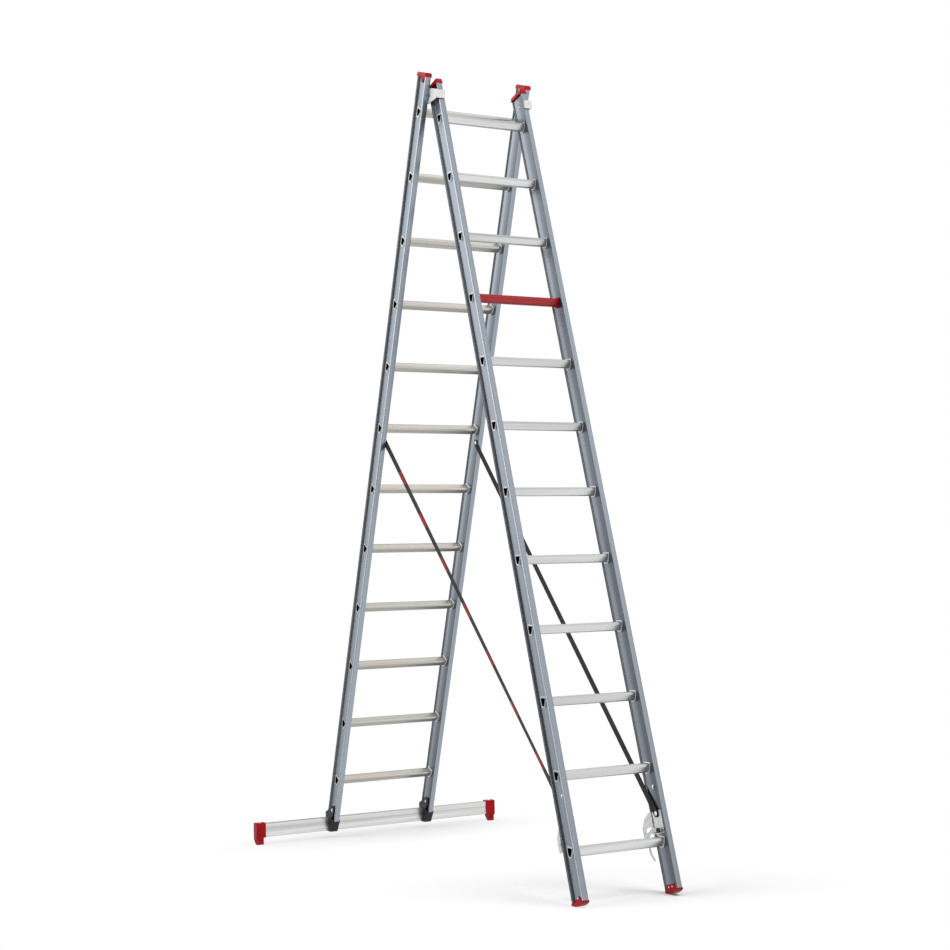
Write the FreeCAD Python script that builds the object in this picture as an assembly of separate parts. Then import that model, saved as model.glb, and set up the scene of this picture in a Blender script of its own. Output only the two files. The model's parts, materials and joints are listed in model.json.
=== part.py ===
"""Two-section combination ladder, standing open as an A-frame.

The rear (base) section carries the stabiliser bar and the guide brackets. The front (fly) section
hangs on two rollers that run in the grooves of its stiles, so it slides along itself and swings
about the rollers. Each section is drawn in its own frame: x across the ladder, y to the rear,
z up along the stiles, with z = 0 at the axis of its top rung. It is then leaned and moved into
place. Millimetres and degrees.
"""
import FreeCAD, Part
import math
import os

V = FreeCAD.Vector

# ---- driving dimensions -------------------------------------------------------------------------
RUNG_COUNT = 12
RUNG_PITCH = 250.0

STILE_DEPTH = 74.0                # front to back
STILE_WIDTH = 22.0                # across the ladder
GROOVE_DEPTH = 8.0                # groove in the outer face
GROOVE_FLOOR = 19.0               # half width of the groove's floor
GROOVE_MOUTH = 29.0               # half width of the groove at the outer face
RECESS_DEPTH = 3.4                # shallow recess in the inner face
RECESS_HALF = 30.0
STILE_WALL = 2.0
FLY_INNER = 174.5                 # inner edge of a fly stile, from the ladder's middle
BASE_INNER = 208.5                # inner edge of a base stile

RUNG_HALF_WIDTH = 15.0
RUNG_TOP = 14.5                   # tread above the rung's axis
RUNG_BOTTOM = 16.5
RUNG_WALL = 1.8
RUNG_TILT = 16.58                 # tread to the square of the stile: level when the fly leans
TREAD_RIBS = 6
COLLAR_GROW = 4.5                 # bead round the rung inside the stile
COLLAR_THICK = 4.5
FLARE_GROW = 3.6                  # flared rim in the stile's groove
FLARE_THICK = 2.2
FLARE_STANDOUT = 3.4              # how far the tube's open end stands out of the web

FLY_LEAN = 16.58
BASE_LEAN = 18.32
BASE_TOP_RUNG = (5.9, 2850.4)     # y, z of the base section's top rung in the ladder's frame
SECTION_OFFSET = 57.0             # between the two stile planes when folded flat

CAP_TOP = 151.5                   # top cap above the top rung's axis
CAP_RIM = 16.0
CAP_PLATE = 4.5
CAP_TAB_END = 108.0

ROLLER_Z = 66.5                   # roller axis above the base section's top rung
ROLLER_Y = -45.0                  # and in front of the base stiles' middle plane
ROLLER_Z_ON_FLY = 101.3           # the same axis, in the fly section's frame
ROLLER_RADIUS = 6.5
STUD_RADIUS = 4.0
RUNNING_CLEARANCE = 0.05
BRACKET_THICK = 4.0

FLY_BOTTOM = -2912.5              # lower end of the fly stiles
FOOT_RIM = -2909.5
SOLE_RADIUS = 90.0
BASE_BOTTOM = -2918.0             # lower end of the base stiles

BAR_HALF = 519.0                  # stabiliser bar
BAR_FRONT = 935.5
BAR_BACK = 959.5
BAR_BOTTOM = 29.0
BAR_TOP = 83.0

STRAP_WIDTH = 25.0
STRAP_THICK = 1.6
STRAP_TOP = (-22.0, -1298.0)      # y, z of the upper anchor in the base section's frame
STRAP_TOP_X = 205.6
STRAP_FOOT = (-2.0, -2657.0)      # y, z of the lower eyelet in the fly section's frame
STRAP_FOOT_X = 171.4
STRAP_ELBOW = 0.28                # where a slack strap folds, as a share of its length

HOOK_THICK = 3.6
HOOK_X = FLY_INNER - 0.5          # outer face of the hook's offset half
HOOK_PIVOT = (-6.0, -2714.0)


# ---- shape helpers ------------------------------------------------------------------------------
def outline(corners):
    """Edges of a closed outline through (a, b, radius) corners, each rounded to its radius."""
    points = [V(a, b, 0) for a, b, _ in corners]
    ends = []
    for i, (_, _, radius) in enumerate(corners):
        here = points[i]
        back = (points[i - 1] - here).normalize()
        ahead = (points[(i + 1) % len(points)] - here).normalize()
        if radius == 0:
            ends.append((here, None, here))
            continue
        half = back.getAngle(ahead) / 2
        reach = radius / math.tan(half)
        inward = (back + ahead).normalize()
        middle = here + inward * (radius / math.sin(half) - radius)
        ends.append((here + back * reach, middle, here + ahead * reach))
    edges = []
    for i, (first, middle, last) in enumerate(ends):
        if middle is not None:
            edges.append(Part.Arc(first, middle, last).toShape())
        following = ends[(i + 1) % len(ends)][0]
        if last.distanceToPoint(following) > 1e-6:
            edges.append(Part.LineSegment(last, following).toShape())
    return Part.Wire(edges)


def along_z(corners, z0, z1):
    """Prism of an (x, y) outline."""
    shape = Part.Face(outline(corners)).extrude(V(0, 0, z1 - z0))
    shape.translate(V(0, 0, z0))
    return shape


def along_x(corners, x0, x1):
    """Prism of a (y, z) outline."""
    shape = Part.Face(outline(corners)).extrude(V(0, 0, x1 - x0))
    turn = FreeCAD.Rotation(V(0, 1, 0), V(0, 0, 1), V(1, 0, 0), "XYZ")
    shape.Placement = FreeCAD.Placement(V(x0, 0, 0), turn)
    return shape


def box(x0, x1, y0, y1, z0, z1):
    return Part.makeBox(x1 - x0, y1 - y0, z1 - z0, V(x0, y0, z0))


def pin(radius, x0, x1, y, z):
    """Cylinder along x."""
    return Part.makeCylinder(radius, x1 - x0, V(x0, y, z), V(1, 0, 0))


def domed(radius, thick, x, y, z, side):
    """Low rivet head whose flat side is at x, bulging towards side (+1 or -1)."""
    sphere_radius = (radius * radius + thick * thick) / (2 * thick)
    half = math.asin(radius / sphere_radius) / 2
    centre = V(thick - sphere_radius, 0, 0)
    top = V(thick, 0, 0)
    rim = V(0, radius, 0)
    middle = centre + V(math.cos(half), math.sin(half), 0) * sphere_radius
    profile = Part.Wire([Part.LineSegment(V(0, 0, 0), rim).toShape(),
                         Part.Arc(rim, middle, top).toShape(),
                         Part.LineSegment(top, V(0, 0, 0)).toShape()])
    dome = Part.Face(profile).revolve(V(0, 0, 0), V(1, 0, 0), 360)
    if side < 0:
        dome = dome.mirror(V(0, 0, 0), V(1, 0, 0))
    dome.translate(V(x, y, z))
    return dome


def union(shapes):
    return shapes[0].fuse(shapes[1:]).removeSplitter()


def mirrored(shape):
    return shape.mirror(V(0, 0, 0), V(1, 0, 0))


def both(shapes):
    """A group of separate solids with its mirror image."""
    return Part.Compound(shapes + [mirrored(s) for s in shapes])


# ---- the two section frames ---------------------------------------------------------------------
def turned(angle, y, z):
    """(y, z) turned about the x axis."""
    c = math.cos(math.radians(angle))
    s = math.sin(math.radians(angle))
    return (y * c - z * s, y * s + z * c)


def base_point(y, z):
    dy, dz = turned(BASE_LEAN, y, z)
    return (BASE_TOP_RUNG[0] + dy, BASE_TOP_RUNG[1] + dz)


ROLLER_AXIS = base_point(ROLLER_Y, ROLLER_Z)
ROLLER_Y_ON_FLY = ROLLER_Y + SECTION_OFFSET
_reach = turned(-FLY_LEAN, ROLLER_Y_ON_FLY, ROLLER_Z_ON_FLY)
FLY_TOP_RUNG = (ROLLER_AXIS[0] - _reach[0], ROLLER_AXIS[1] - _reach[1])


def fly_point(y, z):
    dy, dz = turned(-FLY_LEAN, y, z)
    return (FLY_TOP_RUNG[0] + dy, FLY_TOP_RUNG[1] + dz)


def on_base(shape):
    placed = shape.copy()
    placed.rotate(V(0, 0, 0), V(1, 0, 0), BASE_LEAN)
    placed.translate(V(0, *BASE_TOP_RUNG))
    return placed


def on_fly(shape):
    placed = shape.copy()
    placed.rotate(V(0, 0, 0), V(1, 0, 0), -FLY_LEAN)
    placed.translate(V(0, *FLY_TOP_RUNG))
    return placed


# ---- stiles and rungs ---------------------------------------------------------------------------
def stile_corners(inner):
    """Outer outline of a right-hand stile: groove outside, shallow recess inside."""
    outer = inner + STILE_WIDTH
    half = STILE_DEPTH / 2
    front = [(inner + RECESS_DEPTH, -RECESS_HALF + 1.5, 0.8), (inner, -RECESS_HALF, 0.8),
             (inner, -half, 2), (outer, -half, 3), (outer, -GROOVE_MOUTH, 1.5),
             (outer - GROOVE_DEPTH, -GROOVE_FLOOR, 1.5)]
    return front + [(x, -y, r) for x, y, r in reversed(front)]


def stile_cavity(inner):
    """Outline of the hollow inside a stile."""
    outer = inner + STILE_WIDTH
    edge = STILE_DEPTH / 2 - STILE_WALL
    web = inner + RECESS_DEPTH + STILE_WALL
    floor = outer - GROOVE_DEPTH - STILE_WALL
    front = [(web, -RECESS_HALF + 4, 0.5), (inner + STILE_WALL, -RECESS_HALF - 2, 0),
             (inner + STILE_WALL, -edge, 0.5), (outer - STILE_WALL, -edge, 1),
             (outer - STILE_WALL, -GROOVE_MOUTH - 1.2, 0.5), (floor, -GROOVE_FLOOR - 0.6, 0.5)]
    return front + [(x, -y, r) for x, y, r in reversed(front)]


def rung_corners(grow):
    """Plain shield outline of a rung, grown all round."""
    width = RUNG_HALF_WIDTH + grow
    top = RUNG_TOP + grow
    bottom = -RUNG_BOTTOM - grow
    toe = 8 + 0.8 * grow
    right = [(width, top, 2.5 + grow / 2), (width, 5, 6 + grow), (toe, bottom, 6.5 + grow)]
    return right + [(-y, z, r) for y, z, r in reversed(right)]


def ribbed_corners():
    """The rung's outline with grooves along its tread."""
    pitch = 4.0
    groove = 0.8
    grooves = []
    for i in range(TREAD_RIBS):
        middle = pitch * (i - (TREAD_RIBS - 1) / 2)
        grooves += [(middle - groove, RUNG_TOP, 0), (middle - groove / 2, RUNG_TOP - 0.8, 0),
                    (middle + groove / 2, RUNG_TOP - 0.8, 0), (middle + groove, RUNG_TOP, 0)]
    plain = rung_corners(0)
    return plain + grooves


def tilted(shape):
    turned_shape = shape.copy()
    turned_shape.rotate(V(0, 0, 0), V(1, 0, 0), RUNG_TILT)
    return turned_shape


def rung_hole(inner):
    """What a rung removes from a right-hand stile."""
    return tilted(along_x(rung_corners(0), inner - 5, inner + STILE_WIDTH + 5))


def rung(inner):
    """One hollow rung with its beads and flared ends, about its own axis."""
    web_in = inner + RECESS_DEPTH
    web_out = inner + STILE_WIDTH - GROOVE_DEPTH
    end = web_out + FLARE_STANDOUT
    tube = along_x(ribbed_corners(), -end, end)
    collar = along_x(rung_corners(COLLAR_GROW), web_in - COLLAR_THICK, web_in)
    flare = along_x(rung_corners(FLARE_GROW), web_out, web_out + FLARE_THICK)
    parts = [tilted(tube)]
    groove = box(web_out - 1, web_out + 10, -GROOVE_FLOOR + 0.6, GROOVE_FLOOR - 0.6, -60, 60)
    for ring in (tilted(collar), tilted(flare).common(groove)):
        parts += [ring, mirrored(ring)]
    bore = tilted(along_x(rung_corners(-RUNG_WALL), -end - 1, end + 1))
    return union(parts).cut(bore)


def rungs(inner, prefix, place):
    """All rungs of a section, from the top down."""
    one = rung(inner)
    nodes = {}
    for i in range(RUNG_COUNT):
        copy = one.copy()
        copy.translate(V(0, 0, -i * RUNG_PITCH))
        nodes[f"{prefix}_rung_{i + 1:02d}"] = place(copy)
    return nodes


def stile(inner, bottom, holes):
    """Right-hand hollow stile with its rung holes and the given fastener holes."""
    top = CAP_TOP - CAP_PLATE
    shape = along_z(stile_corners(inner), bottom, top)
    shape = shape.cut(along_z(stile_cavity(inner), bottom - 1, top + 1))
    cutters = list(holes)
    one = rung_hole(inner)
    for i in range(RUNG_COUNT):
        copy = one.copy()
        copy.translate(V(0, 0, -i * RUNG_PITCH))
        cutters.append(copy)
    return shape.cut(cutters)


# ---- caps and feet ------------------------------------------------------------------------------
FOOT_RIVETS_INSIDE = [(-10.5, -2901), (10.5, -2901)]
FOOT_RIVET_OUTSIDE = (0.0, -2898.0)


def cap_block(inner, low, high, grow_low, grow_high):
    """Tapered block round the stile, from z = low to z = high."""
    wires = []
    for z, grow in ((low, grow_low), (high, grow_high)):
        x0 = inner - grow
        x1 = inner + STILE_WIDTH + grow
        y1 = STILE_DEPTH / 2 + grow
        wire = outline([(x0, -y1, 4), (x1, -y1, 4), (x1, y1, 4), (x0, y1, 4)])
        wire.translate(V(0, 0, z))
        wires.append(wire)
    return Part.makeLoft(wires, True)


def groove_tab(inner, root, tip):
    """Pointed tab that lies on the floor of the stile's groove."""
    floor = inner + STILE_WIDTH - GROOVE_DEPTH
    ahead = 1 if tip > root else -1
    half = GROOVE_FLOOR - 3
    corners = [(-half, root, 0), (half, root, 0), (half, root + ahead * 5, 4), (0, tip, 5),
               (-half, root + ahead * 5, 4)]
    return along_x(corners, floor, floor + 4)


def top_cap(inner):
    """Red cap over a stile's upper end, with its tab down the groove."""
    low = CAP_TOP - CAP_RIM
    block = cap_block(inner, low, CAP_TOP, 3.6, 1.6)
    crown = [e for e in block.Edges if e.BoundBox.ZMin > CAP_TOP - 0.1]
    block = block.makeFillet(1.4, crown)
    block = union([block, groove_tab(inner, low + 3, CAP_TAB_END)])
    return block.cut(along_z(stile_corners(inner), low - 40, CAP_TOP - CAP_PLATE))


def fly_foot(inner):
    """Red foot with a rounded sole, a groove tab outside and a square tab inside."""
    sole_centre = (SOLE_RADIUS - FLY_TOP_RUNG[1]) / math.cos(math.radians(FLY_LEAN))
    block = cap_block(inner, FOOT_RIM - 28, FOOT_RIM, 1.2, 1.8)
    block = block.common(pin(SOLE_RADIUS, inner - 20, inner + 50, 0, sole_centre))
    inner_tab = along_x([(-27, -2892, 2), (27, -2892, 2), (27, FOOT_RIM - 2, 0),
                         (-27, FOOT_RIM - 2, 0)], inner - 0.8, inner + RECESS_DEPTH)
    shape = union([block, groove_tab(inner, FOOT_RIM - 3, -2889), inner_tab])
    return shape.cut(along_z(stile_corners(inner), FLY_BOTTOM, FOOT_RIM + 60))


# ---- guide brackets and rollers -----------------------------------------------------------------
BRACKET_RIVETS = [(-12, 52), (-12, 78), (8, 64)]


def guide_bracket():
    """Right bracket: a plate on the base stile with a lip round the fly stile's front flange."""
    plate_corners = [(15, 40, 3), (-40, 36, 3), (-101, 66, 2), (-101, 97, 2), (-44, 97, 6), (15, 88, 5)]
    lip_corners = [(-110.5, 66, 1), (-106.3, 66, 0), (-95.6, 82, 0), (-95.6, 97, 0), (-101.5, 97, 2)]
    plate = along_x(plate_corners, BASE_INNER - BRACKET_THICK, BASE_INNER)
    lip = along_x(lip_corners, FLY_INNER + 1, BASE_INNER)
    shape = union([plate, lip])
    pocket = box(FLY_INNER - 10, BASE_INNER - BRACKET_THICK, -95.6, 30, 30, 100)
    stud_hole = pin(STUD_RADIUS, 200, 212, ROLLER_Y, ROLLER_Z)
    rivet_holes = [pin(3, 200, 212, y, z) for y, z in BRACKET_RIVETS]
    return shape.cut([pocket, stud_hole] + rivet_holes)


def bracket_rivets():
    """Three rivets through the right bracket into the base stile's inner web."""
    web = BASE_INNER + RECESS_DEPTH
    rivets = []
    for y, z in BRACKET_RIVETS:
        head = domed(4.6, 1.6, BASE_INNER - BRACKET_THICK, y, z, -1)
        shank = pin(3, BASE_INNER - BRACKET_THICK - 0.2, web + STILE_WALL, y, z)
        tail = pin(4.4, web + STILE_WALL, web + STILE_WALL + 1.5, y, z)
        rivets.append(union([head, shank, tail]))
    return rivets


def hinge_stud():
    """Right stud: carried by the bracket, its end reaches into the fly stile's groove."""
    floor = FLY_INNER + STILE_WIDTH - GROOVE_DEPTH
    shank = pin(STUD_RADIUS, floor + FLARE_STANDOUT + 0.5, BASE_INNER, ROLLER_Y, ROLLER_Z)
    head = pin(7, BASE_INNER, BASE_INNER + 3, ROLLER_Y, ROLLER_Z)
    stud = union([shank, head])
    return stud.makeFillet(0.8, [e for e in stud.Edges if e.BoundBox.XMin > BASE_INNER + 2.9])


def guide_roller():
    """Right nylon roller on the stud, running in the fly stile's groove."""
    floor = FLY_INNER + STILE_WIDTH - GROOVE_DEPTH
    rim = pin(ROLLER_RADIUS, floor + FLARE_STANDOUT + 0.8, FLY_INNER + STILE_WIDTH + 1.5,
              ROLLER_Y, ROLLER_Z)
    rim = rim.makeFillet(0.8, rim.Edges[0:1] + rim.Edges[2:3])
    return rim.cut(pin(STUD_RADIUS + RUNNING_CLEARANCE, floor, BASE_INNER, ROLLER_Y, ROLLER_Z))


# ---- stabiliser ---------------------------------------------------------------------------------
SHOE_BOLT = (-9.0, -2879.0)
SHOE_CHEEK = 4.0


def bar_corners(grow):
    """Outline of the stabiliser bar, with shallow bands along its front and back."""
    half = (BAR_BACK - BAR_FRONT) / 2 + grow
    middle = (BAR_BACK + BAR_FRONT) / 2
    low = BAR_BOTTOM - grow
    high = BAR_TOP + grow
    front = [(-half, low, 2), (-half, low + 10, 0), (-half + 1.2, low + 11.2, 0),
             (-half + 1.2, high - 21, 0), (-half + 0.4, high - 19.5, 0),
             (-half + 0.4, high - 9, 0), (-half, high - 8, 0), (-half, high, 2)]
    mirror = [(-y, z, r) for y, z, r in reversed(front)]
    return [(middle + y, z, r) for y, z, r in front + mirror]


def stabiliser_bar():
    bar = along_x(bar_corners(0), -BAR_HALF, BAR_HALF)
    hollow = box(-BAR_HALF - 1, BAR_HALF + 1, BAR_FRONT + 3.2, BAR_BACK - 3.2,
                 BAR_BOTTOM + STILE_WALL, BAR_TOP - STILE_WALL)
    return bar.cut(hollow)


def stabiliser_foot():
    """Right end cap with a foot whose sole is bevelled to the rear."""
    front = BAR_FRONT - 4
    back = BAR_BACK + 4
    cap = along_x([(front, 27, 3), (back, 27, 3), (back, BAR_TOP + 4, 3), (front, BAR_TOP + 4, 3)],
                  BAR_HALF - 2, BAR_HALF + 39)
    side = [(front, 0, 2), (front + 15, 0, 3), (back + 3.5, 20, 3), (back + 3.5, 29, 3),
            (back, 36, 0), (front, 36, 0)]
    foot = along_x(side, BAR_HALF + 8, BAR_HALF + 37)
    taper = Part.makeWedge(0, 0, 0, 0, 0, 25, 50, 40, 40, 33)
    taper.translate(V(BAR_HALF + 8, front - 2, 0))
    shape = union([cap, foot.common(union([taper, box(BAR_HALF, BAR_HALF + 50, front - 2,
                                                      back + 8, 24, 40)]))])
    pocket = along_x(bar_corners(0), BAR_HALF - 10, BAR_HALF)
    return shape.cut([pocket, foot_rivet_hole()])


def foot_rivet_hole():
    middle = (BAR_BACK + BAR_FRONT) / 2
    return Part.makeCylinder(2.4, 12, V(BAR_HALF + 18, middle, BAR_TOP - 6), V(0, 0, 1))


def stabiliser_rivet():
    """Blind rivet in the top of the right end cap."""
    middle = (BAR_BACK + BAR_FRONT) / 2
    top = BAR_TOP + 4
    shank = Part.makeCylinder(2.4, 10, V(BAR_HALF + 18, middle, BAR_TOP - 6), V(0, 0, 1))
    head = Part.makeCone(5, 3.4, 1.4, V(BAR_HALF + 18, middle, top), V(0, 0, 1))
    return union([shank, head])


def stile_shoe():
    """Black right shoe that joins the base stile's lower end to the bar."""
    x0 = BASE_INNER - SHOE_CHEEK
    x1 = BASE_INNER + STILE_WIDTH + SHOE_CHEEK
    saddle = along_x([(889, 72, 4), (917, 25, 4), (967, 25, 4), (967, 70, 0), (967, 112, 6),
                      (930, 86, 0)], x0, x1)
    cheek = on_base(along_x([(-6, -2925, 0), (44, -2925, 0), (44, -2909, 3), (6, -2866, 8),
                             (-22, -2865, 8), (-24, -2888, 5)], x0, x1))
    shape = union([saddle, cheek])
    stile_end = on_base(along_z(stile_corners(BASE_INNER), BASE_BOTTOM, BASE_BOTTOM + 200))
    bar = along_x(bar_corners(0), x0 - 1, x1 + 1)
    bolt_hole = on_base(pin(4, x0 - 1, x1 + 1, *SHOE_BOLT))
    return shape.cut([stile_end, bar, bolt_hole])


def shoe_bolt():
    """Bolt through the right shoe and stile, with a domed head outside and a nut inside."""
    x0 = BASE_INNER - SHOE_CHEEK
    x1 = BASE_INNER + STILE_WIDTH + SHOE_CHEEK
    shank = pin(4, x0 - 0.5, x1 + 0.5, *SHOE_BOLT)
    head = domed(7.5, 3.2, x1, *SHOE_BOLT, 1)
    side = [(SHOE_BOLT[0] + 6.6 * math.cos(math.radians(60 * i)),
             SHOE_BOLT[1] + 6.6 * math.sin(math.radians(60 * i)), 0.6) for i in range(6)]
    nut = along_x(side, x0 - 3, x0)
    return union([shank, head, nut])


# ---- hooks and catches --------------------------------------------------------------------------
HOOK_RIVETS = [(8, -2688), (12, -2712)]
STOP_BOLT = (-8.0, -2569.0)
CAP_RIVETS = (112.0, 91.0)
CATCH_THICK = 2.4
PIVOT_REACH = 10.1                # the pin's free end, from the plate's face


def hook_plate():
    """Right hook: riveted inside the fly stile, stepping back over its rear flange."""
    web = FLY_INNER + RECESS_DEPTH
    sheet = along_z([(web - HOOK_THICK, -40, 0), (web, -40, 0), (web, 24.5, 0), (HOOK_X, 29, 1),
                     (HOOK_X, 100, 0), (HOOK_X - HOOK_THICK, 100, 0), (HOOK_X - HOOK_THICK, 27, 1),
                     (web - HOOK_THICK, 22, 1)], -2760, -2630)
    side = [(-28, -2648, 3), (40, -2646, 4), (74, -2664, 14), (94, -2694, 12), (94, -2742, 7),
            (77.5, -2742, 5), (77.5, -2695, 12), (38.5, -2695, 6), (37, -2725, 5), (-28, -2725, 3)]
    shape = sheet.common(along_x(side, 160, 190))
    holes = [pin(2.5, 160, 190, y, z) for y, z in HOOK_RIVETS]
    holes.append(pin(4, 160, 190, *STRAP_FOOT))
    holes.append(pin(3, 160, 190, *HOOK_PIVOT))
    return shape.cut(holes)


def fly_fasteners():
    """Right side: hook and cap rivets, the strap's eyelet rivet and the bolt above the hook."""
    web = FLY_INNER + RECESS_DEPTH
    face = web - HOOK_THICK
    tail_x = web + STILE_WALL
    made = []
    for y, z in HOOK_RIVETS:
        made.append(union([domed(4, 1.4, face, y, z, -1), pin(2.5, face - 0.2, tail_x + 1, y, z)]))
    strap_face = STRAP_FOOT_X - STRAP_THICK / 2
    eyelet = union([pin(4, strap_face - 0.5, tail_x + 1, *STRAP_FOOT),
                    domed(6.5, 1.6, strap_face - 0.5, *STRAP_FOOT, -1)])
    outer = FLY_INNER + STILE_WIDTH - GROOVE_DEPTH
    bolt = union([pin(4, web - 1, outer + 1, *STOP_BOLT), domed(8, 4, web - 1, *STOP_BOLT, -1),
                  pin(6, web - 1, web, *STOP_BOLT), domed(6, 2.5, outer, *STOP_BOLT, 1)])
    for z in CAP_RIVETS:
        made.append(union([domed(3.4, 1, web, 0, z, -1), pin(2, web - 0.2, tail_x + 1, 0, z)]))
    return made + [eyelet, bolt]


def fly_holes():
    """Fastener holes in the right fly stile."""
    web = FLY_INNER + RECESS_DEPTH
    holes = [pin(2.5, web - 5, web + 4, y, z) for y, z in HOOK_RIVETS]
    holes.append(pin(4, web - 5, web + 4, *STRAP_FOOT))
    holes.append(pin(3, web - 5, web + 4, *HOOK_PIVOT))
    holes.append(pin(4, web - 5, FLY_INNER + STILE_WIDTH, *STOP_BOLT))
    holes += [pin(2, web - 5, web + 4, 0, z) for z in CAP_RIVETS]
    for y, z in FOOT_RIVETS_INSIDE:
        holes.append(pin(1.8, web - 6, web + 4, y, z))
    outer = FLY_INNER + STILE_WIDTH - GROOVE_DEPTH
    holes.append(pin(2.2, outer - 4, outer + 8, *FOOT_RIVET_OUTSIDE))
    return holes


def base_holes():
    """Fastener holes in the right base stile."""
    web = BASE_INNER + RECESS_DEPTH
    holes = [pin(3, web - 5, web + 4, y, z) for y, z in BRACKET_RIVETS]
    holes.append(pin(4, BASE_INNER - 5, BASE_INNER + STILE_WIDTH + 5, *SHOE_BOLT))
    holes.append(pin(4, web - 5, web + 4, *STRAP_TOP))
    return holes


def catch_pin():
    """Right pivot pin of the catch, riveted through the hook plate."""
    web = FLY_INNER + RECESS_DEPTH
    face = web - HOOK_THICK
    shank = pin(3, face - PIVOT_REACH, web + STILE_WALL + 1, *HOOK_PIVOT)
    flange = pin(5, face - 4.2, face, *HOOK_PIVOT)
    return union([shank, flange])


def hook_catch():
    """Right sprung catch that closes the hook's mouth, with a tail to push it open."""
    x1 = FLY_INNER + RECESS_DEPTH - HOOK_THICK - 4.5
    x0 = x1 - CATCH_THICK
    arm = [(-14, -2707, 6), (30, -2701, 12), (62, -2712, 14), (88, -2704, 3), (88, -2714, 3),
           (69, -2724, 6), (74, -2778, 24), (54, -2809, 1.2), (50, -2805, 1.2), (66, -2774, 20),
           (60, -2726, 8), (32, -2713, 14), (-6, -2722, 6), (-14, -2720, 4)]
    shape = along_x(arm, x0, x1)
    boss = pin(6.5, x1 - CATCH_THICK - 1, x1, *HOOK_PIVOT)
    return union([shape, boss]).cut(pin(3 + RUNNING_CLEARANCE, x0 - 5, x1 + 5, *HOOK_PIVOT))


def catch_cover():
    """Black cover over the right catch's spring, clipped to the end of the pivot pin."""
    pin_end = FLY_INNER + RECESS_DEPTH - HOOK_THICK - PIVOT_REACH
    y, z = HOOK_PIVOT
    shell = along_x([(y - 9, z - 8, 4), (y + 9, z - 8, 4), (y + 9, z + 8, 4), (y - 9, z + 8, 4)],
                    pin_end - 2, pin_end + 2)
    return shell.cut(pin(3, pin_end, pin_end + 5, *HOOK_PIVOT))


# ---- straps -------------------------------------------------------------------------------------
def strap_ends():
    """Both ends of the right strap in the ladder's frame."""
    return (V(STRAP_TOP_X, *base_point(*STRAP_TOP)), V(STRAP_FOOT_X, *fly_point(*STRAP_FOOT)))


def strap_run(start, end, first_margin, last_margin):
    """Straight flat webbing from start to end, carried past each end by a margin."""
    run = end - start
    direction = V(run).normalize()
    length = run.Length + first_margin + last_margin
    flat = Part.makeBox(STRAP_THICK, STRAP_WIDTH, length,
                        V(-STRAP_THICK / 2, -STRAP_WIDTH / 2, -first_margin))
    across = V(1, 0, 0)
    side = direction.cross(across).normalize()
    flat.Placement = FreeCAD.Placement(start, FreeCAD.Rotation(side.cross(direction), side, direction))
    return flat


def straps():
    """Upper and lower stretch of the right strap, with a gap of 1 mm at the fold."""
    top, foot = strap_ends()
    elbow = top + (foot - top) * STRAP_ELBOW
    upper = strap_run(top, elbow, 16, -0.5)
    lower = strap_run(elbow, foot, -0.5, 16)
    upper = upper.cut(strap_bolt_shank())
    lower = lower.cut(on_fly(pin(4, 160, 190, *STRAP_FOOT)))
    return upper, lower


def strap_bolt_shank():
    return on_base(pin(4, 190, BASE_INNER + 10, *STRAP_TOP))


def strap_bolt():
    """Right bolt that holds the strap's upper eye to the base stile's inner web."""
    web = BASE_INNER + RECESS_DEPTH
    face = STRAP_TOP_X - STRAP_THICK / 2
    washer = pin(6, STRAP_TOP_X + STRAP_THICK / 2 + 0.6, web, *STRAP_TOP)
    shank = pin(4, face - 1, web + STILE_WALL + 1, *STRAP_TOP)
    head = domed(7.5, 2.4, face - 0.5, *STRAP_TOP, -1)
    return union([washer, shank, head])


# ---- assembly -----------------------------------------------------------------------------------
def foot_rivets():
    """Rivets of the right foot: one in the groove tab, two in the inner tab."""
    outer = FLY_INNER + STILE_WIDTH - GROOVE_DEPTH
    made = [union([domed(3.6, 1.2, outer + 4, *FOOT_RIVET_OUTSIDE, 1),
                   pin(2.2, outer - STILE_WALL - 1, outer + 4.3, *FOOT_RIVET_OUTSIDE)])]
    face = FLY_INNER - 0.8
    for y, z in FOOT_RIVETS_INSIDE:
        made.append(union([domed(3, 1, face, y, z, -1),
                           pin(1.8, face - 0.2, FLY_INNER + RECESS_DEPTH + STILE_WALL + 1, y, z)]))
    return made


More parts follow.
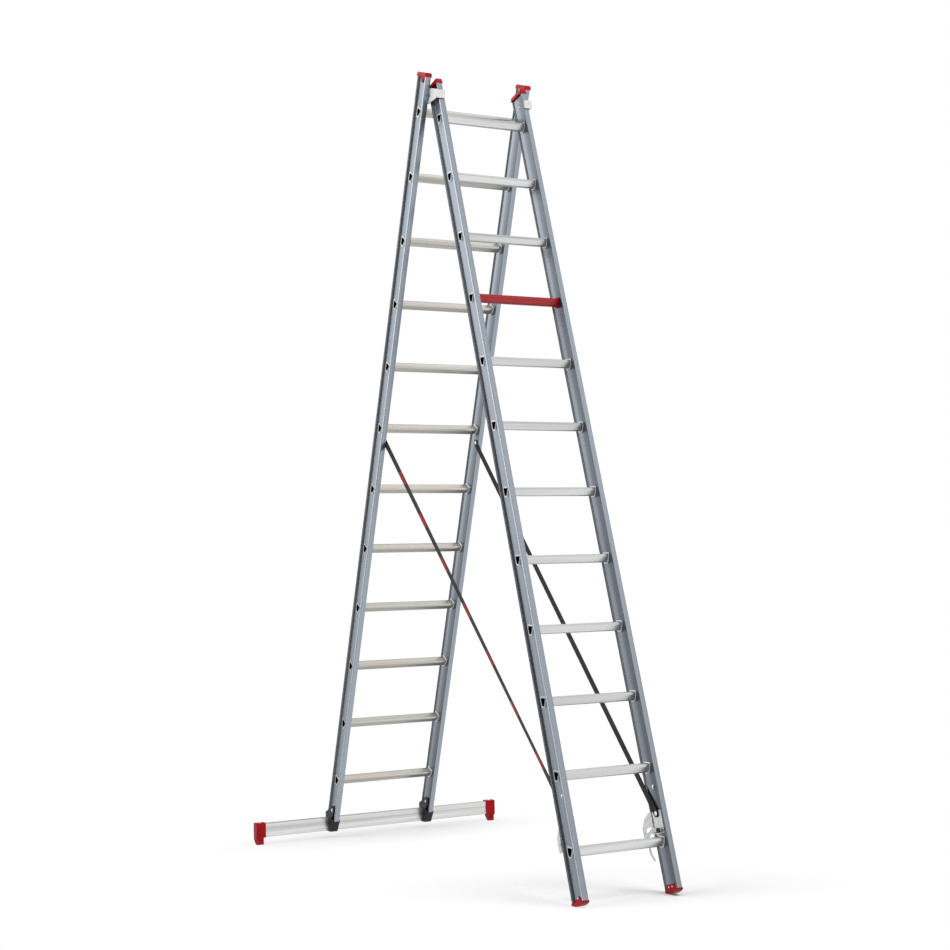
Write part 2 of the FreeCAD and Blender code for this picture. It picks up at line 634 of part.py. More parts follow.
def build():
    """Every node's shape in the ladder's frame."""
    nodes = {}

    def pair(name, shape, place=None):
        placed = place(shape) if place else shape
        nodes[f"{name}_right"] = placed
        nodes[f"{name}_left"] = mirrored(placed)

    nodes.update(rungs(BASE_INNER, "base", on_base))
    nodes.update(rungs(FLY_INNER, "fly", on_fly))
    pair("base_stile", stile(BASE_INNER, BASE_BOTTOM, base_holes()), on_base)
    pair("fly_stile", stile(FLY_INNER, FLY_BOTTOM, fly_holes()), on_fly)
    pair("base_top_cap", top_cap(BASE_INNER), on_base)
    pair("fly_top_cap", top_cap(FLY_INNER), on_fly)
    foot_holes = [pin(1.8, 160, 190, y, z) for y, z in FOOT_RIVETS_INSIDE]
    foot_holes.append(pin(2.2, 180, 200, *FOOT_RIVET_OUTSIDE))
    pair("fly_foot", fly_foot(FLY_INNER).cut(foot_holes), on_fly)
    nodes["fly_foot_rivets"] = both([on_fly(s) for s in foot_rivets()])

    pair("guide_bracket", guide_bracket(), on_base)
    nodes["guide_bracket_rivets"] = both([on_base(s) for s in bracket_rivets()])
    nodes["hinge_studs"] = both([on_base(hinge_stud())])
    nodes["guide_rollers"] = both([on_base(guide_roller())])

    nodes["stabiliser_bar"] = stabiliser_bar()
    pair("stabiliser_foot", stabiliser_foot())
    nodes["stabiliser_foot_rivets"] = both([stabiliser_rivet()])
    pair("stile_shoe", stile_shoe())
    nodes["stile_shoe_bolts"] = both([on_base(shoe_bolt())])

    pair("hook_plate", hook_plate(), on_fly)
    nodes["fly_section_fasteners"] = both([on_fly(s) for s in fly_fasteners()])
    pair("hook_catch", hook_catch(), on_fly)
    nodes["hook_catch_pins"] = both([on_fly(catch_pin())])
    nodes["hook_catch_covers"] = both([on_fly(catch_cover())])

    upper, lower = straps()
    pair("strap_upper", upper)
    pair("strap_lower", lower)
    nodes["strap_bolts"] = both([on_base(strap_bolt())])
    return nodes


os.makedirs("parts", exist_ok=True)
NODES = build()
for name, shape in NODES.items():
    shape.exportStep(f"parts/{name}.step")
print(len(NODES), "nodes; roller axis", ROLLER_AXIS, "fly top rung", FLY_TOP_RUNG)
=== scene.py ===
"""Looks of the two-section combination ladder, standing open as an A-frame.

The metal and plastic parts are the CAD nodes with their finishes. The four webbing runs, their sewn
ends, eyelets and red patches, the beads round the rungs, the catch springs and the punch marks are
built here. Metres and degrees; +X is to the ladder's right and +Y runs from the front (fly) section
to the rear (base) one.
"""

import json
import math

import bmesh
import bpy
from mathutils import Matrix, Vector


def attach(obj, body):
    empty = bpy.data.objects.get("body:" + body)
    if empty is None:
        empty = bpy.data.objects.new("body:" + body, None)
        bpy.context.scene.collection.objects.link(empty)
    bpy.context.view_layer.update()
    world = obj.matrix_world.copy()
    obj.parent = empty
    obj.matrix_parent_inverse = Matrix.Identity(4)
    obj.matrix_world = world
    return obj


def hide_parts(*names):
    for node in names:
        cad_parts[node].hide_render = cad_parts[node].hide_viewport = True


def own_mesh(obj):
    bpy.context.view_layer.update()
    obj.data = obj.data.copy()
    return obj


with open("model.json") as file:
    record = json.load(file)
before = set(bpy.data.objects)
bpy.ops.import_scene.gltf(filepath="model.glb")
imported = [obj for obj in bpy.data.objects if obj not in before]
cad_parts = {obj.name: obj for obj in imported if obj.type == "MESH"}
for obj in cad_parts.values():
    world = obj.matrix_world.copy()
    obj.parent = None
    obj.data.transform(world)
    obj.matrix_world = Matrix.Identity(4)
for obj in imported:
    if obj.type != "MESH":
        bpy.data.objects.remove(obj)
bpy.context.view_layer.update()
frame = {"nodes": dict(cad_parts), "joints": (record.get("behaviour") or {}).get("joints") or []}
NODES = frame["nodes"]

FLY_LEAN = -16.58
BASE_LEAN = 18.32
RUNG_COUNT = 12
RUNG_PITCH = 0.25
FLY_WEB = 0.1779                      # inner face of a fly stile's web, from the ladder's middle
FLY_OUTER_WEB = 0.1885
BASE_WEB = 0.2119                     # inner face of a base stile's web
RUNG_HALF_WIDTH = 0.015
RUNG_TOP = 0.0145                     # tread above the rung's axis
RUNG_BOTTOM = 0.0165
RUNG_TILT = 16.58                     # degrees, tread to the square of the stile
RED_RUNG = 3                          # index of the coated rung, from the top of the fly section
BEAD_GROW = 0.0026                    # bead's middle line, out from the rung's outline
BEAD_RADIUS = 0.0022
BEAD_STANDOUT = 0.0045                # and in from the web
BEND_STEPS = 6                        # straight steps round each of the outline's bends
ROLLER_ON_BASE = (-0.045, 0.0665)     # y, z of the roller axis in each section's frame
ROLLER_ON_FLY = (0.012, 0.1013)

STRAP_WIDTH = 0.025
STRAP_THICK = 0.0014
STRAP_TOP = (0.2056, -0.022, -1.298)  # upper anchor, in the base section's frame
STRAP_FOOT = (0.1714, -0.002, -2.657) # lower anchor, in the fly section's frame
STRAP_ELBOW = 0.28                    # where a slack strap folds, as a share of its length
CATCH_PIVOT = (-0.006, -2.714)


# ---- section frames -----------------------------------------------------------------------------
class Section:
    """One section's own frame: x across, y to the rear, z up its stiles from the top rung's axis."""

    def __init__(self, lean, roller):
        self.turn = Matrix.Rotation(math.radians(lean), 3, "X")
        axis = next(j for j in frame["joints"] if j["name"] == "section_fold")["pos_m"]
        self.lean = lean
        self.origin = Vector(axis) - self.turn @ Vector((0, *roller))
        self.matrix = Matrix.Translation(self.origin) @ self.turn.to_4x4()
        self.back = self.turn @ Vector((0, 1, 0))

    def point(self, x, y, z):
        return self.matrix @ Vector((x, y, z))


BASE = Section(BASE_LEAN, ROLLER_ON_BASE)
FLY = Section(FLY_LEAN, ROLLER_ON_FLY)


# ---- node materials -----------------------------------------------------------------------------
class Finish:
    """A Principled material whose colour, roughness and relief come from procedural nodes."""

    def __init__(self, name, metallic=0.0, **fixed):
        self.material = bpy.data.materials.new(name)
        self.material.use_nodes = True
        self.tree = self.material.node_tree
        self.shader = self.tree.nodes["Principled BSDF"]
        self.shader.inputs["Metallic"].default_value = metallic
        for socket, value in fixed.items():
            self.shader.inputs[socket.replace("_", " ")].default_value = value

    def node(self, kind, inputs=None, **settings):
        made = self.tree.nodes.new(kind)
        for key, value in settings.items():
            setattr(made, key, value)
        for socket, value in (inputs or {}).items():
            if isinstance(value, bpy.types.NodeSocket):
                self.tree.links.new(value, made.inputs[socket])
            else:
                made.inputs[socket].default_value = value
        return made

    def place(self, stretch, lean=0.0, uv=None):
        """Coordinates turned into a leaning section's frame, each axis multiplied by its stretch."""
        if uv:
            source = self.node("ShaderNodeUVMap", uv_map=uv).outputs["UV"]
        else:
            source = self.node("ShaderNodeTexCoord").outputs["Object"]
        turned = self.node("ShaderNodeMapping", {"Vector": source, "Rotation": (math.radians(-lean), 0, 0)})
        return self.node("ShaderNodeMapping", {"Vector": turned.outputs[0], "Scale": stretch}).outputs[0]

    def own(self, section):
        """Position and normal of the surface in a section's own frame, each as x, y and z."""
        coords = self.node("ShaderNodeTexCoord").outputs
        offset = {0: coords["Object"], 1: -section.origin}
        place = self.node("ShaderNodeVectorMath", offset, operation="ADD").outputs[0]
        turn = (-math.radians(section.lean), 0, 0)
        both = []
        for source in (place, coords["Normal"]):
            turned = self.node("ShaderNodeMapping", {"Vector": source, "Rotation": turn}).outputs[0]
            both.append(self.node("ShaderNodeSeparateXYZ", {0: turned}).outputs)
        return both

    def noise(self, where, scale=1.0, detail=3.0, rough=0.55):
        inputs = {"Vector": where, "Scale": scale, "Detail": detail, "Roughness": rough}
        return self.node("ShaderNodeTexNoise", inputs).outputs[0]

    def band(self, value, low, high, to_low, to_high):
        """A smooth step from to_low to to_high as value goes from low to high."""
        inputs = {"Value": value, 1: low, 2: high, 3: to_low, 4: to_high}
        return self.node("ShaderNodeMapRange", inputs, interpolation_type="SMOOTHSTEP").outputs[0]

    def math(self, operation, a, b=0.0):
        return self.node("ShaderNodeMath", {0: a, 1: b}, operation=operation).outputs[0]

    def mix(self, share, a, b, blend="MIX"):
        inputs = {0: share, 6: a, 7: b}
        return self.node("ShaderNodeMix", inputs, data_type="RGBA", blend_type=blend).outputs[2]

    def colour(self, value):
        self.tree.links.new(value, self.shader.inputs["Base Color"])

    def rough(self, value, low, high):
        ranged = self.band(value, 0.25, 0.75, low, high)
        self.tree.links.new(ranged, self.shader.inputs["Roughness"])

    def relief(self, height, distance, strength=1.0, arris=0.0):
        """Bump from a height; arris softens the sharp edges to this radius."""
        inputs = {"Height": height, "Distance": distance, "Strength": strength}
        if arris:
            inputs["Normal"] = self.node("ShaderNodeBevel", {"Radius": arris}, samples=4).outputs[0]
        bump = self.node("ShaderNodeBump", inputs)
        self.tree.links.new(bump.outputs[0], self.shader.inputs["Normal"])


def rgb(red, green, blue):
    """Linear colour of an sRGB one, 0 to 255."""
    return [((c / 255) / 12.92 if c <= 10 else ((c / 255 + 0.055) / 1.055) ** 2.4)
            for c in (red, green, blue)] + [1.0]


SHOULDER = 0.003                      # rounding of the long edges of the stile extrusion
GROOVE_FLOOR = 0.019                  # half width of the groove's floor
LAND_INNER = 0.028                    # from here outwards the outer face is the land beside the groove
WEB_PAINTED_SHADE = 0.55                       # painted shade: share of its colour that an inner web keeps at its front edge
LAND_PAINTED_HIGHLIGHT = 1.55                     # painted highlight on the land in front of the groove, as a share of its colour
LAND_PAINTED_SHADE = 0.3                       # painted shade on the land behind the groove, as a share of its colour
LAND_EDGE = 0.003                     # width of the change between groove and land
BORE_PAINTED_SHADE = [0.01, 0.01, 0.011, 1]    # painted shade: near black for the inside of an open tube


def tinted(colour, share):
    """A colour made darker or lighter."""
    return [min(1.0, share * c) for c in colour[:3]] + [1.0]


def extruded(name, section, dark, light, low=0.22, high=0.28, metallic=0.92):
    """Satin extruded aluminium: die lines along z of the section, soft blotches, few scratches. The inner
    webs get painted shade towards the front, and the outer face a painted highlight on the land in front of
    the groove and painted shade on the land behind it."""
    f = Finish(name, metallic)
    lines = f.noise(f.place((260.0, 260.0, 0.5), section.lean), detail=3.0)
    broad = f.noise(f.place((70.0, 70.0, 0.25), section.lean), detail=2.0)
    scuff = f.noise(f.place((60.0, 60.0, 14.0), section.lean), detail=3.0)
    tone = f.math("ADD", f.math("MULTIPLY", lines, 0.4), f.math("MULTIPLY", broad, 0.6))
    base = f.mix(f.band(tone, 0.36, 0.64, 0.0, 1.0), dark, light)
    worn = f.band(scuff, 0.62, 0.78, 0.0, 0.08)
    base = f.mix(worn, base, tinted(light, 1.25))
    place, facing = f.own(section)
    outward = f.math("MULTIPLY", place[0], facing[0])
    # Painted shade: the inner webs are coloured darker towards their front edge.
    inner = f.band(outward, -0.15, -0.1, 1.0, 0.0)
    ahead = f.band(place[1], -GROOVE_FLOOR, GROOVE_FLOOR, 1.0, 0.0)
    base = f.mix(f.math("MULTIPLY", inner, ahead), base, tinted(dark, WEB_PAINTED_SHADE))
    # Painted highlight: the land in front of the groove is coloured brighter.
    outer = f.band(outward, 0.1, 0.15, 0.0, 1.0)
    front = f.band(place[1], -LAND_INNER - LAND_EDGE, -LAND_INNER, 1.0, 0.0)
    base = f.mix(f.math("MULTIPLY", outer, front), base, tinted(light, LAND_PAINTED_HIGHLIGHT))
    # Painted shade: the land behind the groove is coloured darker.
    rear = f.band(place[1], LAND_INNER, LAND_INNER + LAND_EDGE, 0.0, 1.0)
    side = f.band(f.math("ABSOLUTE", facing[0]), 0.2, 0.5, 0.0, 1.0)
    f.colour(f.mix(f.math("MULTIPLY", rear, side), base, tinted(dark, LAND_PAINTED_SHADE)))
    f.rough(f.math("ADD", f.math("MULTIPLY", lines, 0.6), f.math("MULTIPLY", scuff, 0.4)), low, high)
    f.relief(lines, 0.00001, 0.25, SHOULDER)
    return f.material


def drawn(name, dark, light, section=None, bands=26.0, low=0.24, high=0.36, metallic=0.95):
    """Mill-finish aluminium with drawing lines along x; the bores of a section's rungs get painted shade.
    """
    f = Finish(name, metallic)
    lines = f.noise(f.place((1.4, 500.0, 500.0)), detail=4.0, rough=0.7)
    cloud = f.noise(f.place((0.6, bands, bands)), detail=3.0)
    tone = f.math("ADD", f.math("MULTIPLY", lines, 0.4), f.math("MULTIPLY", cloud, 0.6))
    skin = f.mix(f.band(tone, 0.36, 0.64, 0.0, 1.0), dark, light)
    f.colour(f.mix(bore_shade_share(f, section), skin, BORE_PAINTED_SHADE) if section else skin)
    f.rough(tone, low, high)
    f.relief(lines, 0.00008, 0.6)
    return f.material


def bore_shade_share(f, section):
    """1 where a rung's surface faces its own axis, which is the inside of the tube and gets painted shade,
    and else 0.
    """
    place, facing = f.own(section)
    half = RUNG_PITCH / 2
    height = f.node("ShaderNodeMath", {0: place[2], 1: -half, 2: half}, operation="WRAP").outputs[0]
    outward = f.math("ADD", f.math("MULTIPLY", place[1], facing[1]), f.math("MULTIPLY", height, facing[2]))
    return f.band(outward, -0.004, -0.001, 1.0, 0.0)


def moulded(name, dark, light, low=0.28, high=0.42, shine=0.4, grain=1300.0, depth=0.00005):
    """Injection-moulded plastic with a fine leathery grain."""
    f = Finish(name, 0.0, Specular_IOR_Level=shine)
    fine = f.noise(f.place((grain, grain, grain)), detail=2.0)
    cloud = f.noise(f.place((35.0, 35.0, 35.0)), detail=4.0)
    f.colour(f.mix(f.band(cloud, 0.35, 0.65, 0.0, 1.0), dark, light))
    f.rough(f.math("ADD", f.math("MULTIPLY", fine, 0.5), f.math("MULTIPLY", cloud, 0.5)), low, high)
    f.relief(fine, depth, 0.6, 0.0008)
    return f.material


def plated(name, dark, light, low=0.18, high=0.36, scale=140.0):
    """Zinc-plated or bright steel with the mottling of the plating."""
    f = Finish(name, 0.95)
    spangle = f.noise(f.place((scale, scale, scale)), detail=5.0, rough=0.6)
    fine = f.noise(f.place((900.0, 900.0, 900.0)), detail=2.0)
    f.colour(f.mix(f.band(spangle, 0.35, 0.65, 0.0, 1.0), dark, light))
    f.rough(spangle, low, high)
    f.relief(fine, 0.00004, 0.5)
    return f.material


def coated(name, dark, light, bare=None, low=0.3, high=0.45):
    """Powder coat: orange-peel relief and a slight unevenness. A coated rung's ends beyond x = bare are
    bare metal, and its bore gets painted shade."""
    f = Finish(name, 0.0, IOR=1.5)
    peel = f.noise(f.place((700.0, 700.0, 700.0)), detail=2.0)
    lines = f.noise(f.place((2.0, 160.0, 160.0)), detail=3.0)
    skin = f.mix(f.band(lines, 0.35, 0.65, 0.0, 1.0), dark, light)
    if bare:
        place, _ = f.own(FLY)
        metal = f.band(f.math("ABSOLUTE", place[0]), bare - 0.001, bare, 0.0, 1.0)
        f.tree.links.new(metal, f.shader.inputs["Metallic"])
        skin = f.mix(bore_shade_share(f, FLY), f.mix(metal, skin, rgb(190, 191, 191)), BORE_PAINTED_SHADE)
    f.colour(skin)
    f.rough(peel, low, high)
    f.relief(peel, 0.00008, 0.5)
    return f.material


def woven(name, dark, light, rib=0.0011, pick=0.0016):
    """Flat webbing seen in its UV map, in metres: warp ribs along v, crossed by weft picks."""
    f = Finish(name, 0.0, Roughness=0.8, Sheen_Weight=0.06, Specular_IOR_Level=0.25)
    where = f.node("ShaderNodeUVMap", uv_map="Cloth").outputs["UV"]
    axes = f.node("ShaderNodeSeparateXYZ", {0: where}).outputs
    across = f.math("MULTIPLY", axes[0], 2 * math.pi / rib)
    along = f.math("MULTIPLY", axes[1], 2 * math.pi / pick)
    ribs = f.math("ABSOLUTE", f.math("SINE", f.math("MULTIPLY", across, 0.5)))
    stagger = f.math("MULTIPLY", f.math("SINE", across), 1.2)
    picks = f.math("MULTIPLY_ADD", f.math("SINE", f.math("ADD", along, stagger)), 0.5)
    picks = f.math("ADD", picks, 0.5)
    height = f.math("MULTIPLY", ribs, f.math("ADD", f.math("MULTIPLY", picks, 0.6), 0.4))
    fuzz = f.noise(f.node("ShaderNodeMapping", {0: where, "Scale": (900, 500, 1)}).outputs[0], detail=4.0)
    # Partly painted shade: the colour is darker where the weave lies low, between ribs and under picks; the
    # fuzz adds random tone.
    tone = f.math("ADD", f.math("MULTIPLY", height, 0.7), f.math("MULTIPLY", fuzz, 0.3))
    f.colour(f.mix(f.band(tone, 0.15, 0.85, 0.0, 1.0), dark, light))
    f.relief(height, 0.00025, 0.8)
    return f.material


def finishes():
    """Every material slot's finish. The two leaning sections each get their own stile material."""
    stile = (rgb(133, 141, 150), rgb(148, 155, 163))
    made = {
        "stile_base": extruded("stile_base", BASE, *stile),
        "stile_fly": extruded("stile_fly", FLY, *stile),
        "rung_base": drawn("rung_base", rgb(188, 185, 178), rgb(216, 213, 206), BASE),
        "rung_fly": drawn("rung_fly", rgb(180, 181, 181), rgb(208, 209, 209), FLY),
        "rung_bead": drawn("rung_bead", rgb(206, 206, 205), rgb(232, 232, 231)),
        "bar_aluminium": drawn("bar_aluminium", rgb(176, 176, 175), rgb(214, 214, 213), bands=75.0),
        "red_coating": coated("red_coating", rgb(116, 2, 10), rgb(140, 5, 17), FLY_OUTER_WEB),
        "red_plastic": moulded("red_plastic", rgb(116, 0, 7), rgb(148, 1, 13), shine=0.14),
        "black_plastic": moulded("black_plastic", rgb(9, 9, 10), rgb(18, 18, 19), 0.42, 0.58),
        "bracket_enamel": coated("bracket_enamel", rgb(160, 161, 160), rgb(174, 175, 174)),
        "white_nylon": moulded("white_nylon", rgb(156, 156, 151), rgb(172, 172, 166)),
        "zinc_steel": plated("zinc_steel", rgb(190, 194, 198), rgb(218, 221, 224)),
        "hook_steel": plated("hook_steel", rgb(196, 197, 196), rgb(220, 221, 219), 0.3, 0.45),
        "catch_steel": plated("catch_steel", rgb(182, 194, 194), rgb(212, 222, 222)),
        "rivet_aluminium": plated("rivet_aluminium", rgb(200, 201, 202), rgb(226, 227, 228), 0.22, 0.4),
        "strap_webbing": woven("strap_webbing", rgb(7, 6, 5), rgb(34, 32, 29)),
        "strap_patch": woven("strap_patch", rgb(88, 4, 9), rgb(152, 11, 20)),
        "thread": woven("thread", rgb(22, 21, 19), rgb(60, 57, 52), 0.0004, 0.0006),
    }
    return made


# ---- mesh helpers -------------------------------------------------------------------------------
def finished(mesh_object, body, slot, material, *replaced):
    """Gives a new piece its finish and body, and hides the CAD nodes it stands for."""
    mesh_object.data.materials.clear()
    mesh_object.data.materials.append(material)
    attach(mesh_object, body)
    if replaced:
        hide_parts(*replaced)
    return mesh_object


def from_bmesh(name, bm, matrix, smooth=True):
    """A new object holding bm's mesh moved by matrix into the row frame."""
    mesh = bpy.data.meshes.new(name)
    bmesh.ops.transform(bm, matrix=matrix, verts=bm.verts)
    if matrix.determinant() < 0:
        bmesh.ops.reverse_faces(bm, faces=bm.faces)
    bm.to_mesh(mesh)
    bm.free()
    for polygon in mesh.polygons:
        polygon.use_smooth = smooth
    made = bpy.data.objects.new(name, mesh)
    bpy.context.scene.collection.objects.link(made)
    return made


def flat_plate(bm, rings, thickness, bevel, lift=0.0):
    """Adds a thin plate with bevelled edges to bm: rings are closed (x, y) outlines, the first one
    the edge and the others holes. The plate lies in the xy plane with its middle at z = lift."""
    curve = bpy.data.curves.new("plate", "CURVE")
    curve.dimensions = "2D"
    curve.fill_mode = "BOTH"
    curve.extrude = thickness / 2 - bevel
    curve.bevel_depth = bevel
    curve.bevel_resolution = 1
    curve.offset = -bevel
    for ring in rings:
        spline = curve.splines.new("POLY")
        spline.points.add(len(ring) - 1)
        spline.use_cyclic_u = True
        for point, (x, y) in zip(spline.points, ring):
            point.co = (x, y, 0, 1)
    holder = bpy.data.objects.new("plate", curve)
    mesh = bpy.data.meshes.new_from_object(holder)
    mesh.transform(Matrix.Translation((0, 0, lift)))
    bm.from_mesh(mesh)
    bmesh.ops.remove_doubles(bm, verts=bm.verts, dist=1e-6)
    bpy.data.objects.remove(holder)
    bpy.data.curves.remove(curve)
    bpy.data.meshes.remove(mesh)


def circle(radius, count=32, x=0.0, y=0.0, start=0.0, turn=360.0):
    closed = abs(turn) >= 360
    steps = count if closed else count + 1
    angles = [math.radians(start + turn * i / count) for i in range(steps)]
    return [(x + radius * math.cos(a), y + radius * math.sin(a)) for a in angles]


def tube(bm, points, radius, sides=8, closed=False):
    """Adds a round wire through points to bm."""
    rings = []
    count = len(points)
    normal = None
    for i, here in enumerate(points):
        if closed:
            ahead = points[(i + 1) % count] - points[i - 1]
        else:
            ahead = points[min(i + 1, count - 1)] - points[max(i - 1, 0)]
        ahead.normalize()
        if normal is None:
            normal = ahead.orthogonal()
        normal = (normal - ahead * normal.dot(ahead)).normalized()
        side = ahead.cross(normal)
        rings.append([bm.verts.new(here + (normal * math.cos(a) + side * math.sin(a)) * radius)
                      for a in (2 * math.pi * k / sides for k in range(sides))])
    spans = count if closed else count - 1
    for i in range(spans):
        first, second = rings[i], rings[(i + 1) % count]
        for k in range(sides):
            m = (k + 1) % sides
            bm.faces.new((first[k], first[m], second[m], second[k]))
    if not closed:
        bm.faces.new(rings[0][::-1])
        bm.faces.new(rings[-1])


def strap_uv(bm):
    """UV map in metres: u across the strap and v along it, in the strap's own frame."""
    layer = bm.loops.layers.uv.new("Cloth")
    for face in bm.faces:
        for loop in face.loops:
            loop[layer].uv = loop.vert.co.xy


# ---- webbing ------------------------------------------------------------------------------------
TAB_UPPER = 0.040                     # sewn end at the base stile
TAB_LOWER = 0.068                     # sewn end at the fly stile
EYELET = 0.0066
TWIST = {"left": 17.0, "right": 0.0}  # degrees about the strap's length
TWIST_AT = 0.85                       # where the twist is largest, as a share of the length
PATCH_LENGTH = 0.068
PATCH_PERIOD = 0.230
PATCH_MARGIN = 0.0052
PATCH_FIRST = 0.209                   # middle of the first patch, from the upper anchor
FOLDED_UPPER = 0.0155                 # thickness of the slack runs, put into each run's fold data
FOLDED_LOWER = 0.03


def band(first, last, step=0.05):
    """Outline of a stretch of strap from y = first to y = last, with points every step."""
    count = max(1, round((last - first) / step))
    half = STRAP_WIDTH / 2
    marks = [first + (last - first) * i / count for i in range(count + 1)]
    return [(half, y) for y in marks] + [(-half, y) for y in reversed(marks)]


def rounded_end(reach):
    """Outline of a sewn end: a round end about the anchor at 0 and a square one at y = reach."""
    half = STRAP_WIDTH / 2
    arc = circle(half, 16, start=180, turn=180)
    return arc + [(half, reach), (-half, reach)]


def stitch_marks(near, far):
    """Ends of the stitches of a box with a cross, between y = near and y = far."""
    half = STRAP_WIDTH / 2 - 0.003
    corners = [(-half, near), (half, near), (half, far), (-half, far)]
    lines = [(corners[i], corners[(i + 1) % 4]) for i in range(4)]
    lines += [(corners[0], corners[2]), (corners[1], corners[3])]
    length = 0.0026
    gap = 0.0009
    for (x0, y0), (x1, y1) in lines:
        run = math.hypot(x1 - x0, y1 - y0)
        count = max(1, int(run / (length + gap)))
        for i in range(count):
            a = (i + 0.12) / count
            b = (i + 0.88) / count
            yield (x0 + (x1 - x0) * a, y0 + (y1 - y0) * a), (x0 + (x1 - x0) * b, y0 + (y1 - y0) * b)


class Strap:
    """One side's strap. Its own frame has y along it from the upper anchor and z to the outside."""

    def __init__(self, side):
        self.side = "right" if side > 0 else "left"
        top = BASE.point(side * STRAP_TOP[0], *STRAP_TOP[1:])
        foot = FLY.point(side * STRAP_FOOT[0], *STRAP_FOOT[1:])
        self.length = (foot - top).length
        along = (foot - top).normalized()
        out = (Vector((side, 0, 0)) - along * along.x * side).normalized()
        across = along.cross(out)
        turn = Matrix((across, along, out)).transposed()
        self.matrix = Matrix.Translation(top) @ turn.to_4x4()
        self.elbow = STRAP_ELBOW * self.length

    def twist(self, bm):
        """Turns the strap about its own length, most of all near its lower end."""
        for vert in bm.verts:
            share = vert.co.y / self.length
            rise = min(1.0, share / TWIST_AT) if share < TWIST_AT else (1 - share) / (1 - TWIST_AT)
            turn = Matrix.Rotation(math.radians(TWIST[self.side]) * max(0.0, rise), 3, "Y")
            vert.co = turn @ vert.co

    def piece(self, name, bm, body, slot, material, *replaced):
        bm.normal_update()
        made = from_bmesh(f"{name}_{self.side}", bm, self.matrix, smooth=False)
        return finished(made, body, slot, material, *replaced)

    def run(self, which, first, last, body, finish, fold):
        """The long plain stretch and its red patches."""
        bm = bmesh.new()
        flat_plate(bm, [band(first, last)], STRAP_THICK, 0.0003)
        strap_uv(bm)
        self.twist(bm)
        cloth = self.piece(f"webbing_{which}", bm, body, "strap_webbing", finish["strap_webbing"],
                           f"strap_{which}_{self.side}")
        bm = bmesh.new()
        count = int((self.length - PATCH_FIRST) / PATCH_PERIOD)
        lift = STRAP_THICK / 2 + 0.00015
        half = STRAP_WIDTH / 2 - PATCH_MARGIN
        for i in range(count + 1):
            middle = PATCH_FIRST + PATCH_PERIOD * i
            low = max(first, middle - PATCH_LENGTH / 2)
            high = min(last, middle + PATCH_LENGTH / 2)
            if high - low < 0.002:
                continue
            ring = [(half, low), (half, high), (-half, high), (-half, low)]
            flat_plate(bm, [ring], 0.0004, 0.00012, lift)
        strap_uv(bm)
        self.twist(bm)
        patches = self.piece(f"webbing_patches_{which}", bm, body, "strap_patch", finish["strap_patch"])
        for made in (cloth, patches):
            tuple(fold[0])
            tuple(fold[1])
            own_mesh(made)

    def sewn_end(self, which, at, towards, reach, body, finish):
        """A doubled end with its hem, box stitching and eyelet, about the anchor at y = at."""
        flip = Matrix.Translation((0, at, 0)) @ Matrix.Diagonal((1, towards, 1, 1))
        own = self.matrix @ flip
        bm = bmesh.new()
        hole = circle(EYELET - 0.001, 24)
        flat_plate(bm, [rounded_end(reach), hole], STRAP_THICK, 0.0003)
        back = -STRAP_THICK - 0.0001
        hem = reach - 0.004 if reach > 0.05 else reach - 0.002
        flat_plate(bm, [rounded_end(hem), hole], STRAP_THICK, 0.0003, -back)
        strap_uv(bm)
        made = from_bmesh(f"webbing_end_{which}_{self.side}", bm, own, smooth=False)
        finished(made, body, "strap_webbing", finish["strap_webbing"])

        bm = bmesh.new()
        inner = -STRAP_THICK / 2 - 0.00015
        outer = -back + STRAP_THICK / 2 + 0.00015
        for a, b in stitch_marks(0.014, hem - 0.003):
            for z in (inner, outer):
                tube(bm, [Vector((*a, z)), Vector((*b, z))], 0.00032, 6)
        strap_uv(bm)
        made = from_bmesh(f"webbing_stitches_{which}_{self.side}", bm, own)
        finished(made, body, "strap_webbing", finish["thread"])

        bm = bmesh.new()
        ring = [Vector((x, y, 0)) for x, y in circle(EYELET + 0.0006, 40)]
        for z in (inner, outer):
            tube(bm, [p + Vector((0, 0, z)) for p in ring], 0.00085, 8, closed=True)
        made = from_bmesh(f"webbing_eyelet_{which}_{self.side}", bm, own)
        finished(made, body, "zinc_steel", finish["zinc_steel"])

    def build(self, finish):
        point = lambda y: self.matrix @ Vector((0, y, 0))
        upper = (BASE.back, point(TAB_UPPER), FOLDED_UPPER)
        lower = (FLY.back, point(self.length - TAB_LOWER), FOLDED_LOWER)
        self.run("upper", TAB_UPPER, self.elbow, "strap_upper_runs", finish, upper)
        self.run("lower", self.elbow, self.length - TAB_LOWER, "strap_lower_runs", finish, lower)
        self.sewn_end("upper", 0, 1, TAB_UPPER, "strap_upper_runs", finish)
        self.sewn_end("lower", self.length, -1, TAB_LOWER, "strap_lower_runs", finish)


# ---- small steel and stile details --------------------------------------------------------------
def catch_spring(side, finish):
    """Torsion spring round the catch's pivot, between the catch and the hook plate."""
    name = "right" if side > 0 else "left"
    first = FLY_WEB - 0.0078
    radius = 0.0064
    turns = 3
    pitch = 0.0011
    y0, z0 = CATCH_PIVOT
    coil = []
    for i in range(turns * 24 + 7):
        a = math.radians(15 * i)
        x = first + 0.0006 + pitch * i / 24
        coil.append(Vector((side * x, y0 + radius * math.cos(a), z0 + radius * math.sin(a))))
    leg_in = [coil[0] + Vector((0, 0, -0.016)), coil[0] + Vector((0, 0, -0.005))]
    leg_out = [coil[-1] + Vector((0, 0.006, 0)), coil[-1] + Vector((0, 0.017, -0.001))]
    bm = bmesh.new()
    tube(bm, leg_in + coil + leg_out, 0.00045, 8)
    made = from_bmesh(f"catch_spring_{name}", bm, FLY.matrix)
    bmesh_normals(made)
    return finished(made, "fly_section", "zinc_steel", finish["zinc_steel"])


def bmesh_normals(made):
    bm = bmesh.new()
    bm.from_mesh(made.data)
    bmesh.ops.recalc_face_normals(bm, faces=bm.faces)
    bm.to_mesh(made.data)
    bm.free()


